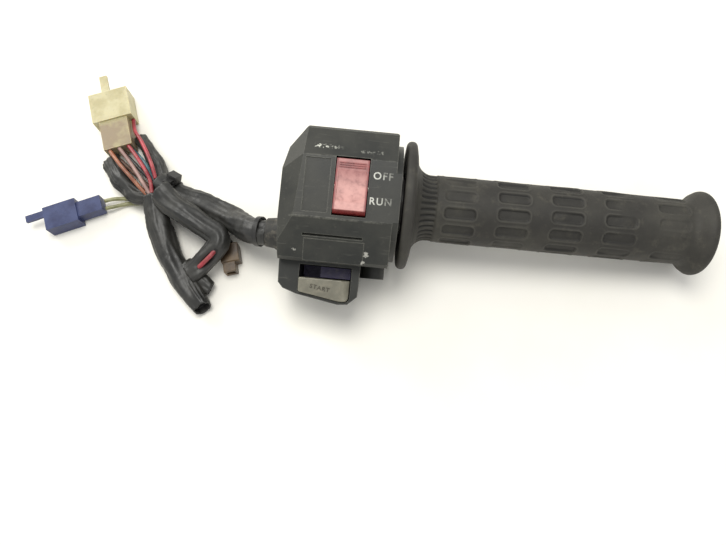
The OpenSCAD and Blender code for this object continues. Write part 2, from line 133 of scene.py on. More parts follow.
class Value:
    """A number that varies from place to place: one output of a node."""

    def __init__(self, tree, socket):
        self.tree = tree
        self.socket = socket

    def step(self, operation, *others):
        node = self.tree.nodes.new("ShaderNodeMath")
        node.operation = operation
        for index, value in enumerate((self,) + others):
            plug(self.tree, value, node.inputs[index])
        return Value(self.tree, node.outputs[0])

    def __add__(self, other):
        return self.step("ADD", other)

    def __sub__(self, other):
        return self.step("SUBTRACT", other)

    def __mul__(self, other):
        return self.step("MULTIPLY", other)

    def __truediv__(self, other):
        return self.step("DIVIDE", other)

    def rise(self, low, high):
        """0 below low, 1 above high, and smooth between; low may be the larger."""
        node = self.tree.nodes.new("ShaderNodeMapRange")
        node.interpolation_type = "SMOOTHSTEP"
        plug(self.tree, self, node.inputs["Value"])
        flip = low > high
        node.inputs["From Min"].default_value = min(low, high)
        node.inputs["From Max"].default_value = max(low, high)
        node.inputs["To Min"].default_value = 1.0 if flip else 0.0
        node.inputs["To Max"].default_value = 0.0 if flip else 1.0
        return Value(self.tree, node.outputs["Result"])

    def within(self, low, high, soft):
        """1 from low to high, fading to 0 over soft on each side."""
        return self.rise(low - soft, low) * self.rise(high + soft, high)


def axes(tree, vector):
    """The three parts of a vector socket."""
    node = tree.nodes.new("ShaderNodeSeparateXYZ")
    tree.links.new(vector, node.inputs[0])
    return [Value(tree, out) for out in node.outputs]


print("node arithmetic ready")

# %% [markdown]
# ## Building blocks for finishes
# Every finish here starts from the place on the piece, in Object coordinates. Clouds of
# noise at a few sizes make the colour uneven, the gloss patchy and the surface grainy,
# which is what tells moulded plastic, cast metal and old rubber apart.

# %% Finish helpers


def srgb(red, green, blue):
    """A colour picked on a 0 to 255 scale, as the linear colour a shader takes."""
    parts = [c / 255 for c in (red, green, blue)]
    return [c / 12.92 if c <= 0.04045 else ((c + 0.055) / 1.055) ** 2.4 for c in parts] + [1.0]


class Finish:
    """A procedural material being built round one Principled shader."""

    def __init__(self, name):
        self.material = bpy.data.materials.new(name)
        self.material.use_nodes = True
        self.tree = self.material.node_tree
        self.shader = self.tree.nodes["Principled BSDF"]
        self.spot = self.tree.nodes.new("ShaderNodeTexCoord").outputs["Object"]

    def cloud(self, size, detail=3.0, rough=0.55, spot=None, stretch=None):
        """Noise whose lumps are about size millimetres across."""
        spot = spot or self.spot
        if stretch:
            mapping = self.tree.nodes.new("ShaderNodeMapping")
            mapping.inputs["Scale"].default_value = stretch
            self.tree.links.new(spot, mapping.inputs["Vector"])
            spot = mapping.outputs["Vector"]
        node = self.tree.nodes.new("ShaderNodeTexNoise")
        node.inputs["Scale"].default_value = 1000.0 / size
        node.inputs["Detail"].default_value = detail
        node.inputs["Roughness"].default_value = rough
        self.tree.links.new(spot, node.inputs["Vector"])
        return Value(self.tree, node.outputs[0])

    def in_frame(self, place):
        """The place on the piece in one of the drawing frames, as x, y and z in millimetres."""
        back = place.inverted()
        mapping = self.tree.nodes.new("ShaderNodeMapping")
        mapping.inputs["Scale"].default_value = (1000, 1000, 1000)
        mapping.inputs["Rotation"].default_value = back.to_euler()
        mapping.inputs["Location"].default_value = back.to_translation()
        self.tree.links.new(self.spot, mapping.inputs["Vector"])
        return axes(self.tree, mapping.outputs["Vector"])

    def edge(self, width):
        """1 on sharp outer edges about width millimetres wide, 0 on flat ground."""
        bevel = self.tree.nodes.new("ShaderNodeBevel")
        bevel.samples = 4
        bevel.inputs["Radius"].default_value = width * MM
        flat = self.tree.nodes.new("ShaderNodeNewGeometry")
        dot = self.tree.nodes.new("ShaderNodeVectorMath")
        dot.operation = "DOT_PRODUCT"
        self.tree.links.new(bevel.outputs[0], dot.inputs[0])
        self.tree.links.new(flat.outputs["Normal"], dot.inputs[1])
        return Value(self.tree, dot.outputs["Value"]).rise(0.985, 0.86)

    def attribute(self, name):
        node = self.tree.nodes.new("ShaderNodeAttribute")
        node.attribute_name = name
        return Value(self.tree, node.outputs["Fac"])

    def mix(self, amount, first, second):
        """A colour that goes from first to second; either may be a colour socket."""
        node = self.tree.nodes.new("ShaderNodeMix")
        node.data_type = "RGBA"
        plug(self.tree, amount, node.inputs["Factor"])
        for colour, socket in ((first, node.inputs[6]), (second, node.inputs[7])):
            if isinstance(colour, bpy.types.NodeSocket):
                self.tree.links.new(colour, socket)
            else:
                socket.default_value = colour
        return node.outputs[2]

    def paint(self, colour):
        self.tree.links.new(colour, self.shader.inputs["Base Color"])

    def gloss(self, value):
        plug(self.tree, value, self.shader.inputs["Roughness"])

    def relief(self, height, depth):
        """Bumps the surface by height, a 0 to 1 value, times depth millimetres."""
        node = self.tree.nodes.new("ShaderNodeBump")
        node.inputs["Strength"].default_value = 1.0
        node.inputs["Distance"].default_value = depth * MM
        plug(self.tree, height, node.inputs["Height"])
        self.tree.links.new(node.outputs[0], self.shader.inputs["Normal"])

    def set(self, **inputs):
        for name, value in inputs.items():
            self.shader.inputs[name.replace("_", " ")].default_value = value
        return self


def moulded(name, deep, worn, rough, grain, depth, edge=0.0, dust=0.0, **inputs):
    """A moulded or drawn surface: uneven colour, patchy gloss, fine grain and rubbed edges."""
    finish = Finish(name)
    patches = finish.cloud(9, 4)
    fine = finish.cloud(grain, 2, 0.6)
    colour = finish.mix(patches.rise(0.35, 0.7), srgb(*deep), srgb(*worn))
    if dust:
        lying = finish.cloud(3.5, 5, 0.7).rise(0.45, 0.75) * dust
        colour = finish.mix(lying, colour, srgb(168, 158, 138))
    if edge:
        rubbed = finish.edge(edge) * finish.cloud(2.2, 3).rise(0.35, 0.6)
        paler = srgb(*[min(255, c * 1.35 + 22) for c in worn])
        colour = finish.mix(rubbed, colour, paler)
    finish.paint(colour)
    finish.gloss(patches * 0.5 * (rough[1] - rough[0]) + fine * 0.5 * (rough[1] - rough[0]) + rough[0])
    finish.relief(fine, depth)
    finish.set(**inputs)
    return finish.material


print("finish helpers ready")

# %% [markdown]
# ## Vinyl sleeve and wire finishes
# The harness sleeve is thin black vinyl gone grey with dust, with a dull wrinkled shine.
# Wire insulation is glossier, in clear colours that years of heat have browned.

# %% Vinyl and wire finishes


def sleeve_vinyl():
    finish = Finish("sleeve_vinyl")
    broad = finish.cloud(14, 4, 0.6)
    crease = finish.cloud(2.4, 4, 0.62)
    fine = finish.cloud(0.35, 2)
    colour = finish.mix(broad.rise(0.35, 0.68), srgb(31, 31, 29), srgb(50, 49, 45))
    colour = finish.mix(crease.rise(0.58, 0.8) * 0.3, colour, srgb(74, 72, 64))
    finish.paint(colour)
    finish.gloss(broad * 0.3 + crease * 0.14 + 0.2)
    finish.relief(crease * 0.6 + fine * 0.1, 0.24)
    finish.set(Specular_IOR_Level=0.55)
    return finish.material


SLEEVE_FINISH = sleeve_vinyl()
# painted shade: a darker vinyl for the inside of the sleeve mouths and the faces in the open slit
LINING_SHADE_FINISH = moulded("sleeve_lining_shade", (24, 23, 22), (38, 36, 33), (0.5, 0.75), 0.8, 0.08)
WIRE_COLOURS = {
    "wire_red": ((128, 30, 40), (184, 66, 76)),
    "wire_pink": ((144, 112, 106), (180, 150, 140)),
    "wire_orange": ((122, 68, 46), (162, 100, 70)),
    "wire_teal": ((30, 62, 72), (72, 112, 120)),
    "wire_black": ((26, 25, 27), (50, 48, 50)),
    "wire_brown": ((66, 42, 32), (104, 74, 58)),
    "wire_olive": ((112, 112, 72), (160, 158, 116)),
}
WIRE_FINISH = {}
for shade, (deep, worn) in WIRE_COLOURS.items():
    WIRE_FINISH[shade] = moulded(shade, deep, worn, (0.28, 0.5), 0.5, 0.03, dust=0.25,
                                 Coat_Weight=0.15, Coat_Roughness=0.3)
print("wire finishes", sorted(WIRE_FINISH))

# %% [markdown]
# ## Routes of the harness
# The harness leaves the housing through a rubber gland, runs down to the bench and is
# gathered by a cable tie. Each route below is a few points through the middle of a sleeve
# or wire, in millimetres on the bench, and a smooth curve is drawn through them.

# %% Smooth paths


def smooth_path(route, step):
    """Points every step millimetres or less on a smooth curve through a route, in metres."""
    spots = [placed(bench_place, point) for point in route]
    before = spots[0] * 2 - spots[1]
    after = spots[-1] * 2 - spots[-2]
    spots = [before] + spots + [after]
    path = []
    for a, b, c, d in zip(spots, spots[1:], spots[2:], spots[3:]):
        count = max(1, round((c - b).length / (step * MM)))
        for k in range(count):
            t = k / count
            path.append(0.5 * (2 * b + (c - a) * t + (2 * a - 5 * b + 4 * c - d) * t * t
                               + (3 * b - a - 3 * c + d) * t ** 3))
    path.append(spots[-2])
    return path


def path_length(path):
    return sum((b - a).length for a, b in zip(path, path[1:]))


def ring_axes(path, index):
    """The sideways and upward directions of a ring square to a path."""
    ahead = path[min(index + 1, len(path) - 1)] - path[max(index - 1, 0)]
    side = ahead.normalized().cross(Vector((0, 0, 1))).normalized()
    return side, side.cross(ahead.normalized())


def swept(name, path, ring_of, around, material, lining=0.0, wall=0.7):
    """A closed skin of rings along a path. With a lining, both ends are open tube mouths."""
    shape = bmesh.new()
    last = len(path) - 1
    stations = [(i, 0.0) for i in range(last + 1)]
    if lining:
        deep = max(2, round(lining * MM / ((path[1] - path[0]).length + 1e-9)))
        tail = [(i, wall) for i in range(last, last - deep, -1)]
        head = [(i, wall) for i in range(deep, -1, -1)]
        stations = head + stations + tail
    rings = []
    slit_shade_verts = set()
    for index, inset in stations:
        side, up = ring_axes(path, index)
        ring = []
        for k in range(around):
            angle = 2 * math.pi * k / around
            out, rise, forward, in_slit_shade = ring_of(index / last, angle, inset)
            ring.append(shape.verts.new(path[index] + side * (out * MM) + up * (rise * MM)
                                        + up.cross(side) * (forward * MM)))
            if in_slit_shade:
                slit_shade_verts.add(ring[-1])
        rings.append(ring)
    for number, (near, far) in enumerate(zip(rings, rings[1:])):
        inner = stations[number][1] > 0 and stations[number + 1][1] > 0
        for k in range(around):
            j = (k + 1) % around
            face = shape.faces.new((near[k], near[j], far[j], far[k]))
            face.smooth = True
            # material 1 is painted shade, on the inside of the mouths and on the faces in the slit
            face.material_index = 1 if inner or slit_shade_verts.issuperset(face.verts) else 0
    # the end caps deep inside the mouths take the same painted shade
    shape.faces.new(list(reversed(rings[0]))).material_index = 1 if lining else 0
    shape.faces.new(rings[-1]).material_index = 1 if lining else 0
    bmesh.ops.recalc_face_normals(shape, faces=shape.faces)
    mesh = bpy.data.meshes.new(name)
    shape.to_mesh(mesh)
    shape.free()
    mesh.materials.append(material)
    if lining:
        mesh.materials.append(LINING_SHADE_FINISH)
    return in_scene(name, mesh)


print("path tools ready")

# %% [markdown]
# ## The cable tie, the clip and the plugs come with the cords
# These CAD parts have the right shape but knife-sharp edges. A softened copy is merged
# from the CAD triangles and given a small bevel, as every moulding has, and it stands for
# the CAD node. It is defined here because the cords name the pieces that sit on them.

# %% Softened copies of CAD parts


def softened(node, name, width, material, body="root", segments=2, angle=32):
    """A copy of a CAD node with rounded edges, width millimetres wide."""
    shape = bmesh.new()
    shape.from_mesh(frame["nodes"][node].data)
    bmesh.ops.remove_doubles(shape, verts=shape.verts, dist=0.004 * MM)
    bmesh.ops.dissolve_limit(shape, angle_limit=math.radians(1.0), verts=shape.verts, edges=shape.edges)
    mesh = bpy.data.meshes.new(name)
    for face in shape.faces:
        face.smooth = True
        face.material_index = 0
    shape.to_mesh(mesh)
    shape.free()
    mesh.materials.append(material)
    piece = in_scene(name, mesh)
    bevel = piece.modifiers.new("moulded edges", "BEVEL")
    bevel.width = width * MM
    bevel.segments = segments
    bevel.limit_method = "ANGLE"
    bevel.angle_limit = math.radians(angle)
    bevel.miter_outer = "MITER_ARC"
    bevel.use_clamp_overlap = True
    weighted = piece.modifiers.new("flat panels", "WEIGHTED_NORMAL")
    weighted.keep_sharp = True
    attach(piece, body)
    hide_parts(node)
    return piece


def nylon(name, deep, worn, glow, place=None, dirty_to=0.0):
    """Unpainted plug nylon: slightly see-through, yellowed, and dirty in patches."""
    finish = Finish(name)
    patches = finish.cloud(7, 4)
    dirt = finish.cloud(1.6, 5, 0.7).rise(0.56, 0.78)
    colour = finish.mix(patches.rise(0.3, 0.7), srgb(*deep), srgb(*worn))
    colour = finish.mix(dirt * 0.4, colour, srgb(*[c * 0.55 for c in deep]))
    if place:
        grime = finish.in_frame(place)[1].rise(dirty_to, dirty_to - 3) * patches.rise(0.2, 0.6) * 0.85
        colour = finish.mix(grime, colour, srgb(138, 118, 96))
    rubbed = finish.edge(0.5) * finish.cloud(1.8).rise(0.3, 0.6)
    colour = finish.mix(rubbed * 0.6, colour, srgb(*[min(255, c * 1.2 + 12) for c in worn]))
    finish.paint(colour)
    finish.gloss(patches * 0.2 + dirt * 0.25 + 0.32)
    finish.relief(finish.cloud(0.6, 3), 0.06)
    finish.set(Subsurface_Weight=glow, Subsurface_Scale=0.0015)
    finish.shader.inputs["Subsurface Radius"].default_value = (1.0, 0.8, 0.5)
    return finish.material


CREAM_FINISH = nylon("plug_cream_nylon", (178, 168, 126), (200, 192, 154), 0.35, cream_place, 17)
BLUE_FINISH = nylon("plug_blue_nylon", (34, 42, 80), (56, 66, 106), 0.0)
BROWN_FINISH = nylon("plug_brown_nylon", (60, 46, 32), (106, 86, 60), 0.0)
TIE_FINISH = moulded("tie_nylon", (26, 26, 25), (44, 43, 41), (0.3, 0.5), 0.6, 0.04, edge=0.3)

cream_plug = softened("cream_connector", "cream_plug_body", 0.45, CREAM_FINISH)
blue_plug = softened("blue_connector", "blue_plug_body", 0.4, BLUE_FINISH)
softened("brown_connector", "brown_plug_body", 0.4, BROWN_FINISH)
tie_band = softened("cable_tie", "cable_tie_band", 0.3, TIE_FINISH)
clip_band = softened("harness_clip", "harness_clip_band", 0.3, TIE_FINISH)
print("plugs and ties softened")

# %% [markdown]
# ## Sleeves
# A vinyl sleeve is a soft tube that its few wires don't fill, so it lies flattened and
# folds into long creases, with short kinks where it bends. The section is an ellipse
# moved in and out by ridged noise, which is fixed by the ring's own place and so gives
# the same folds each run.

# %% The sleeve section


def folded(width, height, fold, seed, slit, bulge, slant, near_end):
    """A ring function for swept(): width and height are half sizes at both ends, in mm.

    Both ends are cut slant millimetres out of square, which fades over near_end of the length.
    """

    def ring_of(along, angle, inset):
        full = bulge * math.sin(math.pi * along) - inset
        w = width[0] + (width[1] - width[0]) * along + full
        h = height[0] + (height[1] - height[0]) * along + full
        c, s = math.cos(angle), math.sin(angle)
        broad = noise.noise(Vector((c * 0.9 + seed, s * 0.9, along * 4.5)))
        crease = 1 - 2.4 * abs(noise.noise(Vector((c * 2.2, s * 2.2 + seed, along * 3.2))))
        kink = 1 - 2.4 * abs(noise.noise(Vector((c * 0.8, s * 1.1 - seed, along * 19))))
        push = fold * (0.9 * broad + 0.36 * crease + 0.13 * kink - 0.2)
        in_slit_shade = False
        if slit:
            lens = max(0.0, 1 - ((along - slit[0]) / slit[1]) ** 2)
            turn = abs((angle - slit[2] + math.pi) % (2 * math.pi) - math.pi)
            push -= 2.3 * lens * max(0.0, 1 - (turn / 0.62) ** 2)
            push += 0.5 * lens * math.exp(-((turn - 0.72) / 0.2) ** 2)
            # faces in the slit take the darker painted-shade material
            in_slit_shade = lens > 0.12 and turn < 0.5 * math.sqrt(lens)
        edge = max(0.0, 1 - along / near_end) + max(0.0, 1 - (1 - along) / near_end)
        ragged = noise.noise(Vector((c * 2.6 + seed, s * 2.6, 9.1)))
        forward = slant * edge * (math.cos(angle - seed) + 0.5 * ragged)
        return (w + push) * c, (h + push * 0.9) * s, forward, in_slit_shade

    return ring_of


MAIN_ROUTE = [(-61.8, -15.1, 21.6), (-63.3, -14.9, 21.4), (-68.5, -14.4, 20.6),
              (-74.5, -11.8, 16.6), (-82, -7.3, 11.6), (-90.2, -2, 8.5),
              (-100, 2.2, 6.9), (-109.5, 4.4, 6.8), (-116.5, 7, 7.3),
              (-122, 9.8, 7.4), (-127, 12.6, 7.4)]
LOOP_ROUTE = [(-120.8, 4.6, 15.6), (-115, -0.8, 15.6), (-107.2, -5.2, 14.8), (-99.5, -9.6, 13.8),
              (-93.6, -13.2, 13.2), (-89.6, -16, 13), (-88.6, -19.6, 12.6), (-91, -24, 11.2),
              (-95.2, -28.5, 9.4), (-99.2, -32, 7.8), (-103, -34.8, 6.6)]
LOWER_ROUTE = [(-126, 3.6, 11), (-124.2, -4.2, 9), (-121.2, -13.4, 6.6), (-116.6, -22.6, 5.8),
               (-109.9, -31.6, 5.6), (-102.2, -41, 5.4), (-93.6, -51.2, 5.3)]
TAIL_ROUTE = [(-106.5, -30.2, 5.4), (-101.5, -34, 4.8), (-96.5, -37.4, 4.2), (-91.6, -40.6, 3.5)]
LEFT_ROUTE = [(-129, 5.4, 7.2), (-135.4, 5, 6.4), (-142, 8.6, 5.6), (-148.4, 14.2, 5.2), (-153.2, 20.6, 4.9),
              (-156.6, 26, 4.6)]
RIGHT_ROUTE = [(-124.8, 12.4, 7.2), (-127.6, 18.6, 6), (-131, 24.6, 5.2),
               (-135.6, 30.6, 4.5), (-140.4, 36, 3.6), (-144.6, 40.6, 2.8)]
STUB_ROUTE = [(-93.6, -8.8, 3), (-91, -12, 3), (-88.6, -14.6, 3.2), (-86.6, -16.6, 3.6)]
SLIT = (0.79, 0.115, math.radians(115))
# name: route, half widths, half heights, fold depth, seed, slit, bulge, slant of the cut ends
SLEEVES = {
    "main_sleeve": (MAIN_ROUTE, (6.2, 6.7), (6.0, 5.1), 1.5, 3.1, None, 0, 0),
    "loop_sleeve": (LOOP_ROUTE, (6.0, 5.2), (5.0, 4.0), 1.3, 11.7, SLIT, 0, 1.0),
    "lower_sleeve": (LOWER_ROUTE, (5.4, 4.8), (4.8, 3.3), 1.4, 23.4, None, 1.2, 1.3),
    "tail_sleeve": (TAIL_ROUTE, (5.0, 3.7), (4.5, 2.6), 0.7, 31.9, None, 0, 0.7),
    "left_sleeve": (LEFT_ROUTE, (4.6, 5.2), (4.4, 3.4), 1.5, 43.3, None, 0, 1.3),
    "right_sleeve": (RIGHT_ROUTE, (4.6, 3.2), (4.2, 1.9), 1.2, 52.6, None, 0, 1.0),
    "stub_sleeve": (STUB_ROUTE, (2.9, 2.9), (2.5, 2.5), 0.3, 60.2, None, 0, 0.3),
}
sleeve_paths = {}
for node, (route, width, height, fold, seed, slit, bulge, slant) in SLEEVES.items():
    path = smooth_path(route, 0.8)
    near_end = 6 * MM / path_length(path)
    piece = swept(node + "_skin", path, folded(width, height, fold, seed, slit, bulge, slant, near_end), 56,
                  SLEEVE_FINISH, lining=4.0)
    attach(piece, "root")
    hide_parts(node)
    sleeve_paths[node] = path
    print(node, "length", round(path_length(path) * 1000, 1), "mm")

SLEEVE_CORDS = {
    "main_sleeve": (0.012, 0, "fitting", [tie_band, clip_band]),
    "loop_sleeve": (0.0102, 0, "bare", []),
    "lower_sleeve": (0.0106, 0, "bare", []),
}
for node, (diameter, end, far_end, carried) in SLEEVE_CORDS.items():
    path = sleeve_paths[node]
    round(path_length(path), 4)
print("long sleeves", len(SLEEVE_CORDS))

# %% [markdown]
# ## Wires
# Past the tie the wires run bare to the plugs. Each is a thin round tube of insulation,
# very slightly uneven, because old insulation stiffens in the kinks it has held for years.

# %% Wires
RED_ROUTE = [(-127, 4.6, 12.8), (-129.4, 11.5, 12.6), (-133.4, 17.6, 12), (-140, 25.4, 10.6),
             (-147, 32.8, 8.8)]
LONG_RED_ROUTE = [(-127.4, 13.4, 11.4), (-130.6, 20.6, 11.4), (-135.6, 28.8, 10),
                  (-141, 36.4, 8.2), (-146.4, 43, 6.2), (-149, 50.1, 5.6)]
PINK_ROUTE = [(-128.6, 4.8, 11.4), (-133, 10.2, 11.6), (-137.8, 16, 10.8), (-144.4, 23.6, 9.8),
              (-151.6, 31, 8.8)]
ORANGE_ROUTE = [(-130.2, 4.4, 9.6), (-135.6, 9, 12), (-141, 14, 12), (-148.6, 21, 10.4),
                (-156.3, 29.1, 8.8)]
TEAL_ROUTE = [(-126.8, 10.4, 9), (-129.6, 14.6, 10), (-134.6, 21.6, 9.6), (-140, 27, 7.6),
              (-146.6, 32.8, 4.4)]
BLACK_ROUTE = [(-127.4, 11.6, 6.6), (-133, 15.4, 8), (-139.4, 20.8, 7.8), (-145.8, 26.4, 6.4),
               (-151.4, 30.9, 4.4)]
BROWN_ROUTE = [(-127.6, 10.2, 4.4), (-133, 12, 5.4), (-140, 17, 6.4), (-148.6, 23.6, 6),
               (-156.1, 28.9, 4.4)]
OLIVE_ROUTE_A = [(-155.5, 2.2, 4.2), (-151, 4, 3.4), (-145.6, 5.2, 2), (-139, 5.8, 1.3),
                 (-132, 6.2, 1.3), (-125.8, 6, 1.3)]
OLIVE_ROUTE_B = [(-154, -1.9, 4.2), (-149.6, 0, 3.2), (-144.6, 2.2, 1.8), (-138.4, 3.2, 1.3),
                 (-131.6, 3.6, 1.3), (-124.4, 3.4, 1.3)]
# name: route, colour, plug, which end of the route is at the harness
WIRES = {
    "red_wire": (RED_ROUTE, "wire_red", cream_plug, 0),
    "long_red_wire": (LONG_RED_ROUTE, "wire_red", cream_plug, 0),
    "pink_wire": (PINK_ROUTE, "wire_pink", cream_plug, 0),
    "orange_wire": (ORANGE_ROUTE, "wire_orange", cream_plug, 0),
    "teal_wire": (TEAL_ROUTE, "wire_teal", cream_plug, 0),
    "black_wire": (BLACK_ROUTE, "wire_black", cream_plug, 0),
    "brown_wire": (BROWN_ROUTE, "wire_brown", cream_plug, 0),
    "olive_wire_a": (OLIVE_ROUTE_A, "wire_olive", blue_plug, -1),
    "olive_wire_b": (OLIVE_ROUTE_B, "wire_olive", blue_plug, -1),
}


def insulated(radius, seed):
    """A ring function for a round wire that is very slightly uneven."""

    def ring_of(along, angle, inset):
        wobble = 0.04 * noise.noise(Vector((math.cos(angle) + seed, math.sin(angle), along * 12)))
        return (radius + wobble) * math.cos(angle), (radius + wobble) * math.sin(angle), 0.0, False

    return ring_of


for number, (node, (route, shade, plug_end, harness_end)) in enumerate(WIRES.items()):
    path = smooth_path(route, 0.9)
    piece = swept(node + "_insulation", path, insulated(1.0, number * 3.7), 16, WIRE_FINISH[shade])
    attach(piece, "root")
    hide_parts(node)
    max(0.03, round(path_length(path), 4))
    print(node, "length", round(path_length(path) * 1000, 1), "mm")

# %% [markdown]
# ## The patch wire in the slit
# The looped sleeve is split along its last third, and a red wire shows in the slit. The
# wire follows the same path as the sleeve, moved out towards the slit.

# %% Patch wire
loop_path = sleeve_paths["loop_sleeve"]
slit_middle, slit_half, slit_angle = SLIT
first = int((slit_middle - slit_half * 0.93) * (len(loop_path) - 1))
final = int((slit_middle + slit_half * 0.93) * (len(loop_path) - 1))
patch_path = []
for index in range(first, final + 1):
    side, up = ring_axes(loop_path, index)
    share = (index - first) / (final - first)
    out = (2.1 + 2.0 * math.sin(math.pi * share) ** 0.6) * MM
    patch_path.append(loop_path[index] + side * (math.cos(slit_angle) * out)
                      + up * (math.sin(slit_angle) * out))
patch_wire = swept("patch_wire_insulation", patch_path, insulated(1.1, 41.0), 16,
                   WIRE_FINISH["wire_red"])
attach(patch_wire, "root")
print("patch wire", round(path_length(patch_path) * 1000, 1), "mm")

# %% [markdown]
# ## The housing finish
# Both halves are die-cast and painted a flat olive black. Paint wears thin on the edges,
# chips to bright metal on the corners that meet the ground, and gathers pale dust; a painted
# highlight line runs along the two long edges of the switch face. The chips are set in the
# housing's own frame, so that they sit on the real corners.

# %% Cast housing paint
# place in the switch face's frame and radius of each chip, in millimetres
CHIPS = (
    ((-14.0, -24.9, 20.5), 1.25),
    ((-15.6, -28.4, 19.6), 1.0),
    ((-45.7, -25.4, 20.4), 0.8),
    ((-5.2, -28.6, 17.5), 1.0),
    ((-52.6, -29.5, 5), 1.2),
    ((-50.6, 12.5, 3), 0.9),
)


def housing_paint():
    finish = Finish("housing_paint")
    x, y, z = finish.in_frame(face_place)
    broad = finish.cloud(22, 4, 0.6)
    fine = finish.cloud(0.5, 3, 0.6)
    scuff = finish.cloud(2.6, 5, 0.7)
    colour = finish.mix(broad.rise(0.35, 0.66), srgb(39, 40, 37), srgb(54, 54, 49))
    colour = finish.mix(scuff.rise(0.56, 0.8) * 0.34, colour, srgb(88, 86, 77))
    # painted highlight: a pale line along the two long edges of the switch face, too blunt for the edge mask
    crown_highlight = (y.within(-11.2, -10.6, 0.35) * x.within(-49, -8, 2.5)
             + y.within(15.6, 16.0, 0.3) * x.within(-43, -6, 2.0) * 0.5) * z.rise(23, 24)
    # edge: worn paint on the sharp edges, plus the painted highlight line along the face edges
    edge = (finish.edge(0.6) + crown_highlight * scuff.rise(0.35, 0.6) * 0.6).step("MINIMUM", 1.0)
    colour = finish.mix(edge * (scuff.rise(0.3, 0.6) * 0.6 + 0.25), colour, srgb(112, 111, 102))
    # scratches run mostly along the bar
    scratch = finish.cloud(1.0, 2, 0.5, stretch=(0.06, 1, 1)).rise(0.64, 0.72)
    colour = finish.mix(scratch * 0.22, colour, srgb(104, 102, 94))
    # worn marks on the upper bevel, where printing has all but gone
    legend = (x.within(-40.2, -28, 0.5) * y.within(19.3, 20.9, 0.2) * x.rise(-27, -36)
              + x.within(-21, -11, 0.5) * y.within(18.4, 19.8, 0.2) * 0.25)
    grit = finish.cloud(1.1, 2, 0.6)
    flecks = grit.rise(0.5, 0.6)
    colour = finish.mix(legend * flecks * z.rise(18, 20), colour, srgb(196, 196, 184))
    # chips down to the metal
    chips = None
    for spot, size in CHIPS:
        dx, dy, dz = x - spot[0], y - spot[1], z - spot[2]
        away = (dx * dx + dy * dy + dz * dz).step("SQRT") + (scuff - 0.5) * 3.0 + (grit - 0.5) * 4.0
        mask = away.rise(size, size - 0.7)
        chips = mask if chips is None else chips.step("MAXIMUM", mask)
    finish.paint(finish.mix(chips, colour, srgb(190, 188, 178)))
    finish.gloss(broad * 0.18 + fine * 0.14 + 0.27 - edge * 0.06)
    plug(finish.tree, chips * 0.85, finish.shader.inputs["Metallic"])
    finish.relief(fine * 0.35 + scuff * 0.25 - chips * 0.9, 0.09)
    finish.set(Specular_IOR_Level=0.38)
    return finish.material


HOUSING_FINISH = housing_paint()
front = softened("front_housing", "front_housing_casting", 0.55, HOUSING_FINISH,
                 segments=3, angle=12)
rear = softened("rear_housing", "rear_housing_casting", 0.5, HOUSING_FINISH,
                angle=12)
print("housing faces", len(front.data.polygons), len(rear.data.polygons))

# %% [markdown]
# ## Legends on the switch face
# The two rocker positions are marked in raised paint beside the rocker, in plain letters
# any rider knows. They are set as text, made a thin closed mesh, and placed on the face.

# %% Switch legends


def legend_paint():
    finish = Finish("legend_paint")
    gone = finish.cloud(1.6, 4, 0.65).rise(0.5, 0.66)
    x, y, z = finish.in_frame(face_place)
    worn = (gone * 0.6 + x.rise(-14, -5.5) * 0.75).step("MINIMUM", 0.9)
    finish.paint(finish.mix(worn, srgb(206, 206, 196), srgb(72, 72, 66)))
    finish.gloss(finish.cloud(0.7) * 0.2 + 0.45)
    finish.relief(finish.cloud(0.3, 2), 0.02)
    return finish.material


LEGEND_FINISH = legend_paint()


def lettered(name, words, size, place, material, body, raised=0.06, spacing=1.2):
    """Flat letters of a closed thin mesh, centred on the place's origin."""
    face = bpy.data.curves.new(name + "_text", "FONT")
    face.body = words
    face.size = size
    face.extrude = raised / 2
    face.offset = 0.07
    face.space_character = spacing
    face.resolution_u = 3
    face.align_x = "CENTER"
    face.align_y = "CENTER"
    text = in_scene(name + "_text", face)
    bpy.context.view_layer.update()
    mesh = bpy.data.meshes.new_from_object(text)
    bpy.data.objects.remove(text)
    mesh.transform(place)
    mesh.transform(Matrix.Scale(MM, 4))
    mesh.materials.clear()
    mesh.materials.append(material)
    mesh.name = name
    piece = in_scene(name, mesh)
    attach(piece, body)
    return piece


off_mark = lettered("off_legend", "OFF", 4.4, face_place @ Matrix.Translation((-9.9, 8.9, 24.6)),
                    LEGEND_FINISH, "root")
run_mark = lettered("run_legend", "RUN", 4.3, face_place @ Matrix.Translation((-10.1, -2.0, 24.72)),
                    LEGEND_FINISH, "root")
print("legends", len(off_mark.data.polygons), len(run_mark.data.polygons))

# %% [markdown]
# ## The rocker
# It is moulded in red and its thumb face has bleached to a dull pink in the sun, while the
# sides in the shade of the housing keep their colour. The fading is a mask in the
# rocker's own frame: strongest on the face, weakest by the edges and the ridges.

# %% Faded rocker finish


def rocker_red():
    finish = Finish("rocker_red")
    x, y, z = finish.in_frame(rocker_place)
    mottle = finish.cloud(3.2, 4, 0.6)
    face = z.rise(2.6, 4.0) * x.within(-5.9, 5.9, 0.8) * y.within(-10.9, 10.9, 0.7)
    faded = face * (mottle * 0.7 + 0.5).rise(0.5, 0.98)
    # the band of thumb ridges keeps the darker red
    ridge_band = y.within(7.2, 9.6, 0.5) * 0.62
    colour = finish.mix(mottle.rise(0.3, 0.7), srgb(104, 26, 28), srgb(136, 44, 42))
    upper = finish.mix(y.rise(-2, 7), srgb(202, 148, 140), srgb(170, 114, 110))
    colour = finish.mix(faded * (ridge_band * -1.0 + 1.0), colour, upper)
    finish.paint(colour)
    finish.gloss(mottle * 0.2 + finish.cloud(0.5) * 0.12 + 0.3)
    finish.relief(finish.cloud(0.7, 3), 0.04)
    finish.set(Coat_Weight=0.12, Coat_Roughness=0.35)
    return finish.material


